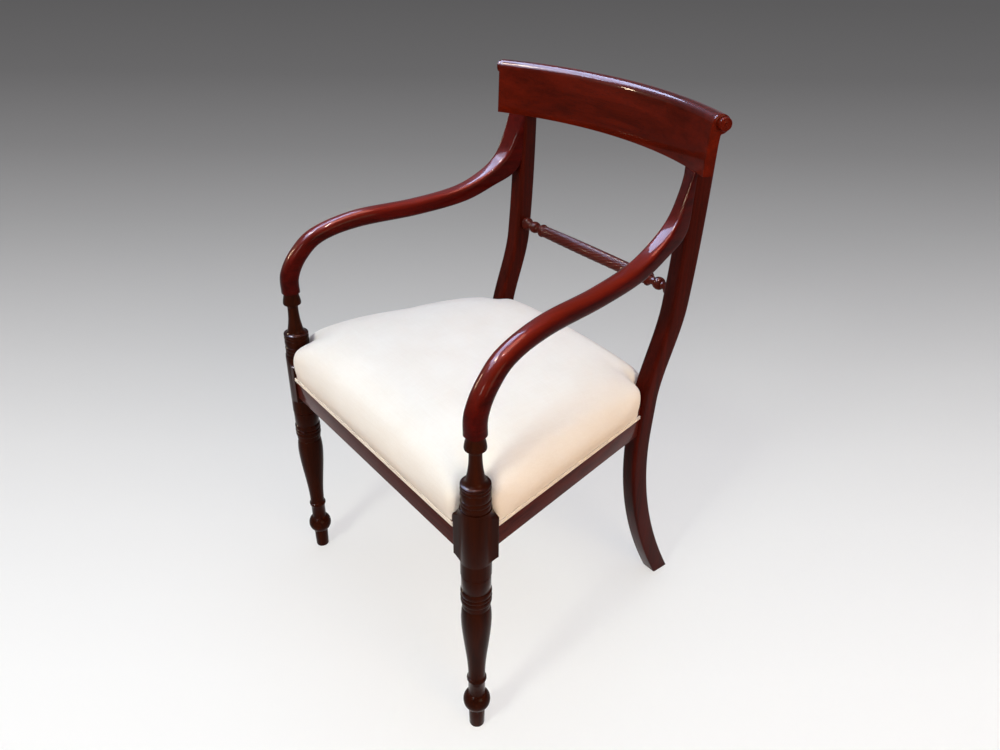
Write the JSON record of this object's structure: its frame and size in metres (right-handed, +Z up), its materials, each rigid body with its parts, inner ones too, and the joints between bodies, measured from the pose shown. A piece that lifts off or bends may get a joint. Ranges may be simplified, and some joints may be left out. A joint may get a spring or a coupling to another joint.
{
  "type": "desk armchair",
  "caption": "Polished wood desk armchair with turned front legs, sabre back legs, scrolled arms, a rolled curved crest rail, a rope-twist back rail and a stuffed-over seat.",
  "frame": {"origin": "on the floor under the middle of the chair's bounding box", "axes": "+X to the sitter's left, +Y to the back of the chair, +Z up"},
  "size_m": [0.5544, 0.5206, 0.864],
  "materials": {
    "mahogany": "high gloss french polish, red-brown with dark figure",
    "frame_wood": "plain sawn beech, unpolished",
    "screw_steel": "dull",
    "tack_steel": "blued",
    "webbing_jute": "coarse woven jute",
    "hessian_cloth": "open plain weave",
    "stuffing": "fibre pad",
    "cover_cloth": "fine plain weave, matt cream"
  },
  "bodies": {
    "root": {"front_leg_left": "mahogany", "front_leg_right": "mahogany", "back_upright_left": "mahogany", "back_upright_right": "mahogany", "seat_rail_front": "mahogany", "seat_rail_back": "mahogany", "seat_rail_left": "mahogany", "seat_rail_right": "mahogany", "arm_left": "mahogany", "arm_right": "mahogany", "crest_rail": "mahogany", "crest_button_left": "mahogany", "crest_button_right": "mahogany", "rope_twist_rail": "mahogany", "corner_block_front_left": "frame_wood", "corner_block_front_right": "frame_wood", "corner_block_back_left": "frame_wood", "corner_block_back_right": "frame_wood", "corner_block_screws": "screw_steel", "arm_screws": "screw_steel", "crest_screws": "screw_steel", "screw_plugs": "mahogany", "webbing_front_to_back": "webbing_jute", "webbing_side_to_side": "webbing_jute", "webbing_tacks": "tack_steel", "hessian": "hessian_cloth", "seat_stuffing": "stuffing", "seat_cover": "cover_cloth", "seat_piping": "cover_cloth"}
  },
  "joints": []
}
